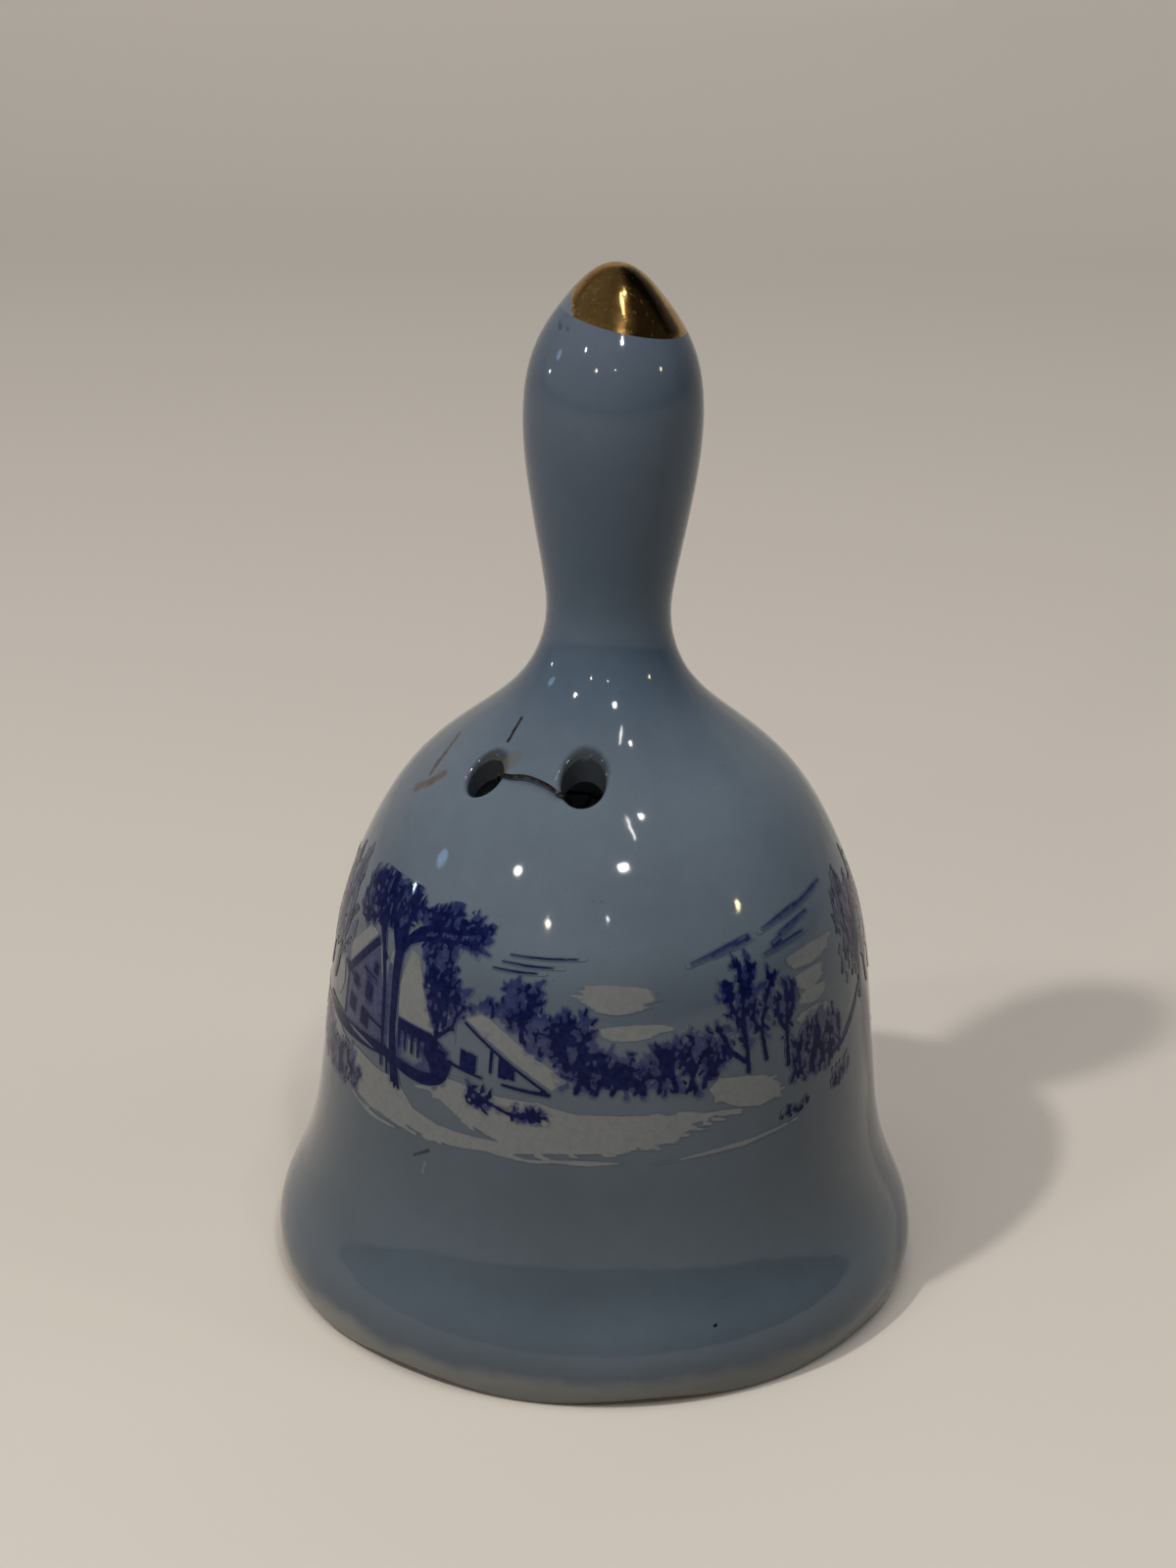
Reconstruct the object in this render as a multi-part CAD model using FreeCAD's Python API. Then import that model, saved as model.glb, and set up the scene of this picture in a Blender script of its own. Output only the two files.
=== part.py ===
"""A porcelain dinner bell with a hollow handle, a gilded tip, and a clapper hung on a wire through its shoulder.

Units are millimetres. The origin is on the bell's axis, in the plane that the rim stands on, and +Z points up the
handle. The two wire holes are in the shoulder's front left: the front is -Y, and azimuths run from -Y towards +X.

The bell is one slip-cast shell. One wire is stitched through its two holes, twisted together inside and turned into
an eye. A link joins that eye to the clapper's wire, and a porcelain ball turns on the wire above its foot loop.
"""

import FreeCAD, Part

import math
import os

Vector = FreeCAD.Vector
UP = Vector(0, 0, 1)

# ---- driving dimensions -------------------------------------------------------------------------------------------
HEIGHT = 133.7  # standing plane to the tip of the handle
WALL = 3.1  # of the slip-cast shell
TIP_WALL = 5.5  # slip pools at the tip of the handle
SKIRT = 1.5  # how far the blank reaches below the standing plane, before the rim is scalloped and ground
SKIRT_LEAN = 0.35  # how far the outline runs outwards per millimetre up, at the bottom of the blank

# Outer outline as (radius, height), from the bottom of the blank to the last point below the tip.
OUTER = [
    (40.6, -SKIRT),
    (42.0, 3.8),
    (41.4, 8.0),
    (39.4, 12.8),
    (37.5, 18.5),
    (36.2, 27.0),
    (35.0, 39.0),
    (33.0, 51.0),
    (29.6, 60.0),
    (24.4, 68.2),
    (16.7, 75.0),
    (10.4, 81.4),
    (7.85, 88.5),
    (8.6, 96.5),
    (10.1, 105.0),
    (11.0, 113.5),
    (9.7, 123.2),
    (6.0, 129.4),
]

# Rim: scalloped into low feet, rounded, then ground flat where it stands.
FEET = 8
FOOT_AZIMUTH = -12.0  # of the first foot
SCALLOP = 1.0  # height of each arch between two feet
LIP_ROUND = 1.2
GROUND_OFF = 0.08  # how much of each foot the grinding takes

# Wire holes: azimuth and radius of the centre on the outer surface, hole radius, and lean of the bore outwards.
LEFT_HOLE = (-49.2, 19.6, 2.45, 16.0)
RIGHT_HOLE = (-8.7, 17.6, 2.7, 6.0)
HOLE_ROUND = 0.8  # the glaze softens the outer edge

# Gilding: a fired film, brushed over the tip with its edge a little askew.
GOLD_THICKNESS = 0.2
GOLD_EDGE_HEIGHT = 127.2
GOLD_EDGE_TILT = 11.3

# Suspension. Wires are given by radius, eyes by the radius of their centre line.
HANGER_WIRE = 0.25
LINK_WIRE = 0.3
CLAPPER_WIRE = 0.4
HANGING_GAP = 0.03  # between two wires that hang in each other
STEM_TOP = 64.0
STEM_FOOT = 57.6
STEM_TURNS = 2.5
STEM_GAP = 0.06  # between the two twisted strands
HANGER_EYE = 1.3
LINK_EYE = 1.9
LINK_SPLIT = 6.0  # degrees left open where the link was closed
CLAPPER_EYE = 1.5
EYE_NECK = 0.9  # from an eye's circle to where its shank is straight
EYE_SIDES = 12

# Ball.
BALL_RADIUS = 7.0
BALL_HEIGHT = 17.0  # of its centre, at rest
BALL_BORE = 0.47
BORE_ROUND = 0.5
FOOT_NECK = 0.25  # from the foot loop's circle to the ball
JOG = 1.0  # sideways jog in the wire that keeps the ball from riding up
JOG_ABOVE = 0.3  # from the ball to the jog

# Construction.
CLEAR = 60.0  # a reach past the bell's side
INSIDE_RIM = 25.0  # a radius inside the rim's wall
WALL_STATIONS = 24  # along the outline, for the inner surface
FILM_STATIONS = 90  # along the outline, for the underside of the gilding
HOLE_EDGE_REACH = 1.6  # hole radii: its outer edge comes this near to its centre
HOLE_EDGE_LENGTH = 9.0  # hole radii: its outer edge is shorter than this


# ---- helpers ------------------------------------------------------------------------------------------------------
def polar(azimuth, radius, height):
    """A point at an azimuth in degrees from the front, -Y, towards +X."""
    a = math.radians(azimuth)
    return Vector(radius * math.sin(a), -radius * math.cos(a), height)


def outline_curve(points, tip_height, start):
    """A smooth curve in the XZ plane through (radius, height) points, which ends level on the axis."""
    places = [Vector(r, 0, z) for r, z in points] + [Vector(0, 0, tip_height)]
    spacing = [0.0]
    for a, b in zip(places, places[1:]):
        spacing.append(spacing[-1] + (b - a).Length)
    curve = Part.BSplineCurve()
    curve.interpolate(
        Points=places,
        Parameters=spacing,
        InitialTangent=start,
        FinalTangent=Vector(-1, 0, 0),
        Scale=False,
    )
    return curve


def offset_points(curve, distance, last_height, steps):
    """(radius, height) points at a distance inside a curve, at even steps along it."""
    points = []
    length = curve.length()
    for i in range(steps):
        at = curve.parameterAtDistance(length * i / steps)
        place = curve.value(at)
        along = curve.tangent(at)[0]
        point = (place.x - along.z * distance, place.z + along.x * distance)
        if point[1] < last_height:
            points.append(point)
    return points


def revolve(edges):
    return Part.Face(Part.Wire(edges)).revolve(Vector(0, 0, 0), UP, 360)


def line(a, b):
    return Part.LineSegment(a, b).toShape()


def rounded_path(points, share=0.45):
    """Straight runs through points, with a tangent arc at each corner that takes that share of the shorter run."""
    edges = []
    start = points[0]
    for before, corner, after in zip(points, points[1:], points[2:]):
        u = (corner - before).normalize()
        v = (after - corner).normalize()
        turn = u.getAngle(v)
        trim = share * min((corner - before).Length, (after - corner).Length)
        radius = trim / math.tan(turn / 2)
        inside = (v - u).normalize()
        centre = corner + inside * (radius / math.cos(turn / 2))
        arc_start = corner - u * trim
        edges.append(line(start, arc_start))
        start = corner + v * trim
        edges.append(Part.Arc(arc_start, centre - inside * radius, start).toShape())
    edges.append(line(start, points[-1]))
    return Part.Wire(edges)


def tube(path, radius):
    """A round wire swept along a path."""
    first = path.OrderedEdges[0]
    begin = first.valueAt(first.FirstParameter)
    section = Part.Wire(Part.Circle(begin, first.tangentAt(first.FirstParameter), radius).toShape())
    return path.makePipeShell([section], True, False)


def eye_corners(centre, radius, first, last):
    """Corners of the polygon round an eye in the XZ plane. Angles are from the foot of the eye, towards +X."""
    step = 360 / EYE_SIDES
    out = radius / math.cos(math.radians(step / 2))
    corners = []
    for i in range(round(abs(last - first) / step) + 1):
        a = math.radians(first + math.copysign(step * i, last - first))
        corners.append(centre + Vector(out * math.sin(a), 0, -out * math.cos(a)))
    return corners


def save(shape, name):
    solid = shape if shape.ShapeType == "Solid" else shape.Solids[0]
    print(f"{name:14s} valid {solid.isValid()} solids {len(shape.Solids)} volume {solid.Volume:.2f}")
    solid.exportStep(f"parts/{name}.step")


# ---- porcelain shell ----------------------------------------------------------------------------------------------
outer = outline_curve(OUTER, HEIGHT, Vector(SKIRT_LEAN, 0, 1).normalize())


def outer_radius(height):
    """Radius of the outer surface at a height."""
    level = Part.LineSegment(Vector(0.01, 0, height), Vector(100, 0, height))
    return outer.intersect(level)[0].X


def outer_height(radius):
    """Height of the shoulder's outer surface at a radius."""
    upright = Part.LineSegment(Vector(radius, 0, 50), Vector(radius, 0, 90))
    return outer.intersect(upright)[0].Z


def on_shoulder(azimuth, height, lift):
    """A point lifted off the outer surface, square to it."""
    radius = outer_radius(height)
    along = outer.tangent(outer.parameter(Vector(radius, 0, height)))[0]
    return polar(azimuth, radius + along.z * lift, height - along.x * lift)


def shell_blank():
    """The cast shell before its rim, holes and gilding: the outline, and the same outline one wall further in."""
    hollow_top = HEIGHT - TIP_WALL
    stations = offset_points(outer, WALL, hollow_top - 0.4 * WALL, WALL_STATIONS)
    stations[0] = (OUTER[0][0] - WALL, -SKIRT)
    inner = outline_curve(stations, hollow_top, Vector(SKIRT_LEAN, 0, 1).normalize())
    blank = revolve(
        [
            outer.toShape(),
            line(Vector(0, 0, HEIGHT), Vector(0, 0, hollow_top)),
            inner.toShape(),
            line(Vector(stations[0][0], 0, -SKIRT), Vector(OUTER[0][0], 0, -SKIRT)),
        ]
    )
    return blank.toNurbs().Solids[0]


def rim_wave(radius):
    """A closed wave round the rim: it dips to each foot and rises to an arch between two feet."""
    points = []
    per_foot = 6
    for i in range(FEET * per_foot):
        rise = SCALLOP / 2 * (1 - math.cos(2 * math.pi * i / per_foot))
        points.append(polar(FOOT_AZIMUTH + 360 * i / (FEET * per_foot), radius, rise - GROUND_OFF))
    curve = Part.BSplineCurve()
    curve.interpolate(Points=points, PeriodicFlag=True)
    return curve.toShape()


def scalloped(blank):
    """The blank with its rim cut to the wave, rounded, and ground flat where it stands."""
    sheet = Part.makeRuledSurface(rim_wave(INSIDE_RIM), rim_wave(CLEAR))
    cut = blank.cut(sheet.extrude(UP * -4 * SKIRT))
    rim_edges = [e for e in cut.Edges if e.BoundBox.ZMax < 2 * SCALLOP and e.BoundBox.ZLength > SCALLOP / 2]
    rounded = cut.makeFillet(LIP_ROUND, rim_edges)
    grinder = Part.makeCylinder(CLEAR, SKIRT, UP * -SKIRT, UP)
    return rounded.cut(grinder)


class Hole:
    """A wire hole: its centre on the outer surface and the directions round it."""

    def __init__(self, azimuth, at_radius, radius, lean):
        self.radius = radius
        self.centre = polar(azimuth, at_radius, outer_height(at_radius))
        outward = polar(azimuth, 1, 0)
        self.bore = outward * math.sin(math.radians(lean)) + UP * math.cos(math.radians(lean))
        self.side = polar(azimuth + 90, 1, 0)
        self.down = self.side.cross(self.bore)
        if self.down.dot(outward) < 0:
            self.down = self.down * -1

    def point(self, side, down, out):
        """A point in the hole's own directions: to the side, towards the skirt, and out along the bore."""
        return self.centre + self.side * side + self.down * down + self.bore * out

    def cutter(self):
        return Part.makeCylinder(self.radius, 6 * WALL, self.centre - self.bore * 3 * WALL, self.bore)


def softened(shape, hole):
    """Rounds the outer edge of a hole."""
    near = Part.Vertex(hole.centre)
    reach = HOLE_EDGE_REACH * hole.radius
    short = [e for e in shape.Edges if e.Length < HOLE_EDGE_LENGTH * hole.radius]
    edges = [e for e in short if e.distToShape(near)[0] < reach]
    outermost = max(edges, key=lambda e: e.CenterOfMass.dot(hole.bore))
    return shape.makeFillet(HOLE_ROUND, [outermost])


def gold_film():
    """The film over the tip, above its tilted edge."""
    stations = offset_points(outer, GOLD_THICKNESS, HEIGHT - 2 * GOLD_THICKNESS, FILM_STATIONS)
    upper_third = stations[2 * FILM_STATIONS // 3 :]
    core = outline_curve(upper_third, HEIGHT - GOLD_THICKNESS, UP)
    start = core.value(core.FirstParameter)
    inside = revolve(
        [
            core.toShape(),
            line(Vector(0, 0, HEIGHT - GOLD_THICKNESS), Vector(0, 0, start.z)),
            line(Vector(0, 0, start.z), start),
        ]
    )
    whole = revolve(
        [
            outer.toShape(),
            line(Vector(0, 0, HEIGHT), Vector(0, 0, -SKIRT)),
            line(Vector(0, 0, -SKIRT), Vector(OUTER[0][0], 0, -SKIRT)),
        ]
    )
    above = Part.makeBox(CLEAR, CLEAR, CLEAR, Vector(-CLEAR / 2, -CLEAR / 2, 0))
    above.rotate(Vector(0, 0, 0), Vector(0, 1, 0), GOLD_EDGE_TILT)
    above.translate(UP * GOLD_EDGE_HEIGHT)
    return whole.common(above).cut(inside)


# ---- suspension ---------------------------------------------------------------------------------------------------
HANGER_EYE_HEIGHT = STEM_FOOT - EYE_NECK - HANGER_EYE
UPPER_PIVOT = Vector(0, 0, HANGER_EYE_HEIGHT - HANGER_EYE)
LINK_HEIGHT = UPPER_PIVOT.z + HANGER_WIRE + HANGING_GAP + LINK_WIRE - LINK_EYE
LOWER_PIVOT = Vector(0, 0, LINK_HEIGHT - LINK_EYE)
CLAPPER_EYE_HEIGHT = LOWER_PIVOT.z + LINK_WIRE + HANGING_GAP + CLAPPER_WIRE - CLAPPER_EYE
FOOT_EYE_HEIGHT = BALL_HEIGHT - BALL_RADIUS - FOOT_NECK - CLAPPER_EYE


def strand(phase, downwards):
    """One strand of the twisted stem."""
    radius = HANGER_WIRE + STEM_GAP / 2
    sides = 10
    points = []
    for i in range(round(STEM_TURNS * sides) + 1):
        share = i / (STEM_TURNS * sides)
        turn = phase + 360 * STEM_TURNS * share
        points.append(polar(turn, radius, STEM_TOP + (STEM_FOOT - STEM_TOP) * share))
    return points if downwards else points[::-1]


def hanger_wire():
    """The wire: one twisted strand, up through the right hole, over the shoulder, down the left hole, and the eye."""
    left = Hole(*LEFT_HOLE)
    right = Hole(*RIGHT_HOLE)
    over = [
        (-16.0, 72.4, 0.40),
        (-20.4, 73.0, 0.50),
        (-26.0, 73.3, 0.50),
        (-31.0, 73.4, 0.45),
        (-36.5, 73.1, 0.30),
    ]
    points = strand(90, downwards=False)
    points += [polar(-9, 2.6, 65.6), polar(-9, 9.0, 68.6), polar(-10, 14.8, 69.0)]
    points += [right.point(-1.2, 1.3, -3.8), right.point(-1.6, 1.5, -1.9)]
    points += [on_shoulder(a, z, HANGER_WIRE + lift) for a, z, lift in over]
    points += [left.point(2.0, -0.4, 0.5), left.point(2.0, -0.4, -2.8)]
    points += [polar(-47, 13.0, 67.5), polar(-48, 7.0, 66.9), polar(-52, 2.6, 65.6)]
    points += strand(-90, downwards=True)
    points += eye_corners(Vector(0, 0, HANGER_EYE_HEIGHT), HANGER_EYE, -165, 135)
    return tube(rounded_path(points), HANGER_WIRE)


def link_ring():
    """A round link through the hanger's eye, in the YZ plane, not quite closed at one side."""
    ring = Part.makeTorus(LINK_EYE, LINK_WIRE, Vector(0, 0, 0), UP, 0, 360, 360 - LINK_SPLIT)
    ring.rotate(Vector(0, 0, 0), UP, LINK_SPLIT / 2)
    ring.rotate(Vector(0, 0, 0), Vector(0, 1, 0), 90)
    ring.rotate(Vector(0, 0, 0), Vector(1, 0, 0), 90)
    ring.translate(UP * LINK_HEIGHT)
    return ring


def clapper_wire():
    """A stiff wire: top eye, shank with a jog above the ball, and foot loop below it."""
    upper = Vector(0, 0, CLAPPER_EYE_HEIGHT)
    foot = Vector(0, 0, FOOT_EYE_HEIGHT)
    jog_foot = BALL_HEIGHT + BALL_RADIUS + JOG_ABOVE
    points = eye_corners(upper, CLAPPER_EYE, 45, 345)
    points += [Vector(0, 0, upper.z - CLAPPER_EYE - EYE_NECK)]
    points += [Vector(0, 0, jog_foot + 3 * JOG), Vector(JOG, 0, jog_foot + 2 * JOG)]
    points += [Vector(JOG, 0, jog_foot + JOG), Vector(0, 0, jog_foot)]
    points += [Vector(0, 0, foot.z + CLAPPER_EYE + FOOT_NECK)]
    points += eye_corners(foot, CLAPPER_EYE, -165, 135)
    return tube(rounded_path(points), CLAPPER_WIRE)


def clapper_ball():
    """A porcelain ball with a straight bore, its mouths rounded."""
    centre = UP * BALL_HEIGHT
    ball = Part.makeSphere(BALL_RADIUS, centre)
    ball = ball.cut(Part.makeCylinder(BALL_BORE, 4 * BALL_RADIUS, centre - UP * 2 * BALL_RADIUS, UP))
    mouths = [e for e in ball.Edges if e.Length < 7 * BALL_BORE and e.BoundBox.ZLength < 0.01]
    return ball.makeFillet(BORE_ROUND, mouths)


if __name__ == "__main__":
    os.makedirs("parts", exist_ok=True)
    left = Hole(*LEFT_HOLE)
    right = Hole(*RIGHT_HOLE)
    body = scalloped(shell_blank())
    for hole in (left, right):
        body = softened(body.cut(hole.cutter()), hole)
    gold = gold_film()
    save(body.cut(gold), "bell_body")
    save(gold, "gold_tip")
    save(hanger_wire(), "hanger_wire")
    save(link_ring(), "jump_ring")
    save(clapper_wire(), "clapper_wire")
    save(clapper_ball(), "clapper_ball")
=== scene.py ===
"""The looks of the porcelain bell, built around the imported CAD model.

Lengths are in metres, unless a comment or a docstring says millimetres.

The CAD pieces keep their shapes and get glaze, gold, steel and porcelain. The winter scene on the bell's
side is drawn here as three thin films of enamel, white, pale cobalt and dark cobalt, which follow the CAD
surface.
"""

import math

import bpy
import numpy as np
from mathutils import Matrix, Vector
from mathutils.bvhtree import BVHTree
from mathutils.geometry import delaunay_2d_cdt


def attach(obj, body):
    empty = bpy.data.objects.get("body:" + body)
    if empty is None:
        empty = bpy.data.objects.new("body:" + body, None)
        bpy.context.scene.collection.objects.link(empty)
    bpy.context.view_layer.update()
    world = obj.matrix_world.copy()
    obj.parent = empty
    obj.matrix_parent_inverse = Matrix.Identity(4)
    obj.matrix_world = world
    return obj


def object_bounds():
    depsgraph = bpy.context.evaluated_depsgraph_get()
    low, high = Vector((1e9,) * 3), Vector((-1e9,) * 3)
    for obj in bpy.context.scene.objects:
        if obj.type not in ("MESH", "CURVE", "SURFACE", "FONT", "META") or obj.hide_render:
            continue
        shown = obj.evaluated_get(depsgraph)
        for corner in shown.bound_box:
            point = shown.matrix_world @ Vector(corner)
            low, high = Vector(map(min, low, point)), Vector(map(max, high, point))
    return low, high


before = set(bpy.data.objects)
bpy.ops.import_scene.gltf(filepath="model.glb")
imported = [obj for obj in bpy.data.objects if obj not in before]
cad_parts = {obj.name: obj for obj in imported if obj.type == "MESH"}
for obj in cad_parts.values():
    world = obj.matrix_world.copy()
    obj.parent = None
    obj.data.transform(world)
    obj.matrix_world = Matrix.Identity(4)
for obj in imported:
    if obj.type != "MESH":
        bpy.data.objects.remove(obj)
CAD_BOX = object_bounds()
MM = 0.001
HANDLE_TOP = CAD_BOX[1].z / MM  # millimetres


def polar(azimuth, radius, height):
    """A point in metres, from degrees round from -Y towards +X, and a radius and height in millimetres."""
    a = math.radians(azimuth)
    return Vector((radius * math.sin(a), -radius * math.cos(a), height)) * MM


def added(name, data):
    """A new object in the scene."""
    thing = bpy.data.objects.new(name, data)
    bpy.context.scene.collection.objects.link(thing)
    return thing


# ---- camera, floor and light -------------------------
CAMERA_PLACE = Vector((-2.1, -390.1, 230.4)) * MM
CAMERA_DOWN = 22.83  # degrees below level
CAMERA_ROLL = 1.23  # degrees; the bell stands this much off upright in the picture
CAMERA_LENS = 76.5  # millimetres
CAMERA_FILM = 36  # millimetres


def make_camera():
    data = bpy.data.cameras.new("camera")
    data.lens = CAMERA_LENS
    data.sensor_width = CAMERA_FILM
    camera = added("camera", data)
    pitch = Matrix.Rotation(math.radians(90 - CAMERA_DOWN), 4, "X")
    roll = Matrix.Rotation(math.radians(CAMERA_ROLL), 4, "Z")
    camera.matrix_world = Matrix.Translation(CAMERA_PLACE) @ (pitch @ roll)
    bpy.context.scene.camera = camera


def make_floor():
    """A pale sweep: a level floor that curves up behind the bell."""
    near, far, half_width = -2.5, 0.55, 3.0  # the level part, along Y and along X
    turn, steepest, steps = 0.35, 75, 16  # the curve's radius, its last slope in degrees and its facets
    outline = [(near, 0.0), (far, 0.0)]
    for i in range(1, steps + 1):
        a = math.radians(steepest * i / steps)
        outline.append((far + turn * math.sin(a), turn * (1 - math.cos(a))))
    outline.append((outline[-1][0] + 0.4, outline[-1][1] + 1.5))
    points = [(x, y, z) for x in (-half_width, half_width) for y, z in outline]
    row = len(outline)
    mesh = bpy.data.meshes.new("floor")
    mesh.from_pydata(points, [], [(i, i + row, i + row + 1, i + 1) for i in range(row - 1)])
    mesh.shade_smooth()
    floor = added("floor", mesh)
    n = Nodes("floor_paper")
    n.surface("Base Color", rgb(0.74, 0.69, 0.635))
    n.surface("Roughness", 0.9)
    mesh.materials.append(n.material)
    # The light that it would throw back up comes from the world's lower half instead.
    floor.visible_diffuse = False


# The world's colours: below the horizon, at it and above it.
FLOOR_GLOW = (0.13, 0.12, 0.11, 1)
HORIZON = (0.20, 0.19, 0.18, 1)
ROOM = (0.09, 0.087, 0.084, 1)
# How much stronger they are to the left, -X, and to the right: from a direction's X, to its X, and the
# strengths there.
SIDEWAYS = ((-0.65, -0.15, 1.3, 1.0), (0.15, 0.5, 1.0, 0.2))
LAMPS_AIM = Vector((0, 0, 70)) * MM
# Each lamp: azimuth and elevation in degrees, distance and size (or width and height) in metres, power in
# watts, colour.
SOFT_LAMPS = {  # they light the bell and the floor, and don't show in the glaze
    "key": (-48, 51.7, 1.0, 0.05, 3.6, (1.0, 0.95, 0.88)),
    "overhead": (-20, 80, 1.3, 1.0, 4.2, (1.0, 0.96, 0.91)),
    "behind": (170, 40, 1.5, 1.0, 2.1, (1.0, 0.95, 0.9)),
    "right": (80, 35, 1.5, 0.8, 1.8, (0.72, 0.88, 1.0)),
}
SPARKS = {  # small lamps, which show in the glaze
    "spark_left": (-50, 36, 1.6, 0.095, 1.5, (1.0, 0.95, 0.9)),
    "spark_middle": (13, 47, 1.4, 0.10, 2.4, (1.0, 0.96, 0.92)),
    "spark_low_left": (-26, 24.6, 1.6, 0.06, 0.6, (1.0, 0.86, 0.7)),
    "spark_low_middle": (2, 27.2, 1.8, 0.03, 0.25, (0.8, 0.95, 1.0)),
    "spark_right": (68.6, 19, 1.6, 0.06, 0.6, (1.0, 0.85, 0.45)),
    "spark_high": (45, 68, 1.7, 0.05, 0.7, (1.0, 0.97, 0.93)),
    "streak": (26, 65.5, 1.5, (0.03, 0.28), 0.8, (1.0, 0.97, 0.93)),
    "window": (-92, 20, 1.6, 0.17, 0.35, (0.35, 0.62, 1.0)),
    "window_corner": (-98, 8, 1.6, 0.035, 0.35, (0.6, 0.85, 1.0)),
}


def make_lamps(lamps, mirrored):
    for name, (azimuth, elevation, distance, size, power, colour) in lamps.items():
        data = bpy.data.lights.new(name, "AREA")
        data.shape = "ELLIPSE"
        data.size, data.size_y = size if isinstance(size, tuple) else (size, size)
        data.energy = power
        data.color = colour
        lamp = added(name, data)
        e = math.radians(elevation)
        away = polar(azimuth, 1000 * math.cos(e), 1000 * math.sin(e))
        lamp.location = away * distance + LAMPS_AIM
        lamp.rotation_euler = away.to_track_quat("Z", "Y").to_euler()
        lamp.visible_glossy = mirrored


def make_world():
    """A dim room, brightest near the horizon and at the left, and what the floor throws up."""
    world = bpy.data.worlds.new("world")
    world.use_nodes = True
    nodes, links = world.node_tree.nodes, world.node_tree.links
    direction = nodes.new("ShaderNodeSeparateXYZ")
    links.new(nodes.new("ShaderNodeTexCoord").outputs["Generated"], direction.inputs[0])
    fade = nodes.new("ShaderNodeValToRGB")
    links.new(direction.outputs["Z"], fade.inputs["Fac"])
    stops = fade.color_ramp.elements
    stops[0].position, stops[0].color = 0.0, FLOOR_GLOW
    stops[1].position, stops[1].color = 0.01, HORIZON
    stops.new(0.35).color = ROOM
    colour = fade.outputs["Color"]
    for ends in SIDEWAYS:
        share = nodes.new("ShaderNodeMapRange")
        share.interpolation_type = "SMOOTHSTEP"
        links.new(direction.outputs["X"], share.inputs["Value"])
        for socket, value in zip(("From Min", "From Max", "To Min", "To Max"), ends):
            share.inputs[socket].default_value = value
        scaled = nodes.new("ShaderNodeVectorMath")
        scaled.operation = "SCALE"
        links.new(colour, scaled.inputs[0])
        links.new(share.outputs[0], scaled.inputs["Scale"])
        colour = scaled.outputs[0]
    links.new(colour, nodes["Background"].inputs["Color"])
    bpy.context.scene.world = world


def make_light():
    make_lamps(SOFT_LAMPS, False)
    make_lamps(SPARKS, True)
    make_world()
    bpy.context.scene.view_settings.view_transform = "Standard"


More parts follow.
